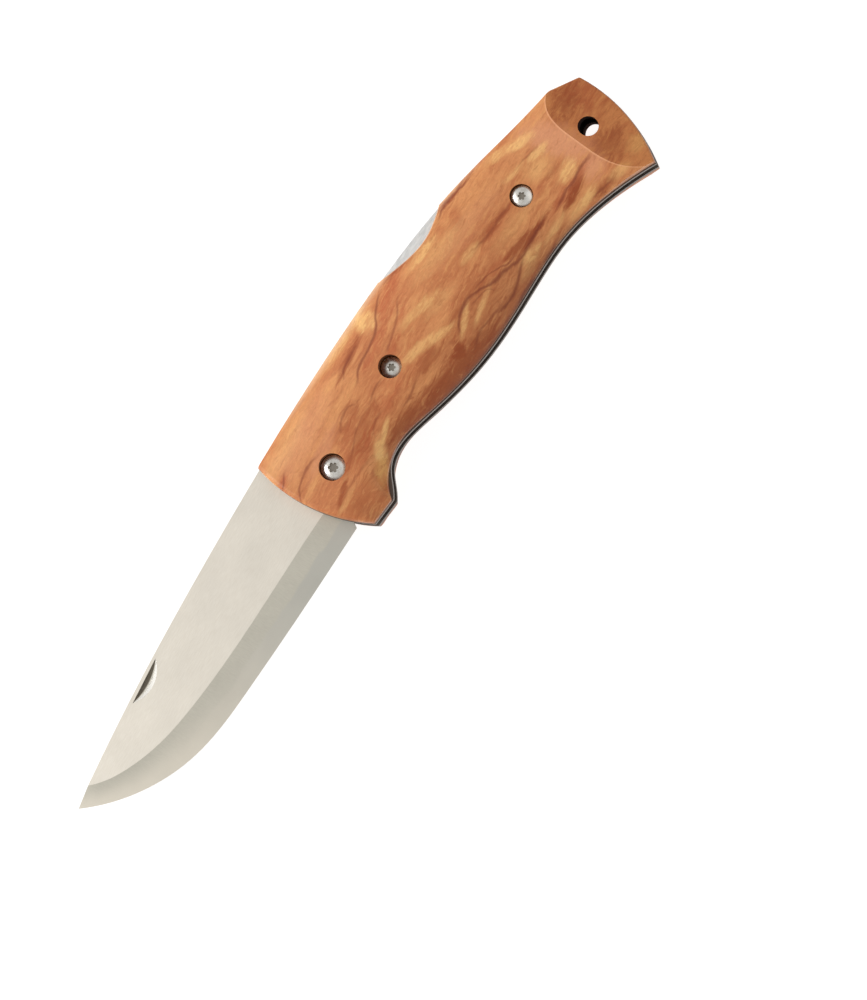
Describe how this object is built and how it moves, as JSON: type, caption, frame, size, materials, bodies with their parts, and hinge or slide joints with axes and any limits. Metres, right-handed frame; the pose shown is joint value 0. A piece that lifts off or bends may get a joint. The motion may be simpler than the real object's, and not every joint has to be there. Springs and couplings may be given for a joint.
{
  "type": "folding whittling knife",
  "caption": "Folding lockback whittling knife with a straight flat-bevelled carving blade, crowned birch scales, steel liners, a rocking lock bar and a lanyard hole.",
  "frame": {"origin": "under the middle of the open knife, on the surface that its rear scale lies on", "axes": "+X along the knife from the blade's tip to the handle's butt, +Y to the spine, +Z out of the front scale"},
  "size_m": [0.1962, 0.0436, 0.0164],
  "materials": {
    "birch": "oiled curly birch, satin",
    "blade_steel": "fine satin, with a ground flat bevel",
    "lock_steel": "fine satin",
    "liner_steel": "satin",
    "spring_steel": "blued satin",
    "fastener_steel": "turned",
    "screw_steel": "bright stainless, domed heads",
    "bronze": "polished"
  },
  "bodies": {
    "handle": {"pivot_barrel": "fastener_steel", "lock_bar_pin": "fastener_steel", "lock_spring": "spring_steel", "back_spacer": "liner_steel", "spacer_pin_upper": "fastener_steel", "spacer_pin_lower": "fastener_steel", "scale_front": "birch", "scale_rear": "birch", "liner_front": "liner_steel", "liner_rear": "liner_steel", "washer_front": "bronze", "washer_rear": "bronze", "pivot_screw_front": "screw_steel", "pivot_screw_rear": "screw_steel", "scale_screw_mid_front": "screw_steel", "scale_screw_mid_rear": "screw_steel", "scale_screw_end_front": "screw_steel", "scale_screw_end_rear": "screw_steel"},
    "blade": {"blade": "blade_steel"},
    "lock_bar": {"lock_bar": "lock_steel"}
  },
  "joints": [
    {"name": "blade_fold", "type": "hinge", "parent": "handle", "child": "blade", "pos_m": [-0.00403, 0.00631, 0.00822], "axis": [0, 0, 1], "range_deg": [0, 172]},
    {"name": "lock_release", "type": "hinge", "parent": "handle", "child": "lock_bar", "pos_m": [0.02597, 0.01611, 0.00822], "axis": [0, 0, -1], "range_deg": [0, 4.5], "stiffness_Nm_per_rad": 0.5, "springref_deg": -5.73, "deforming": ["lock_spring"]}
  ]
}
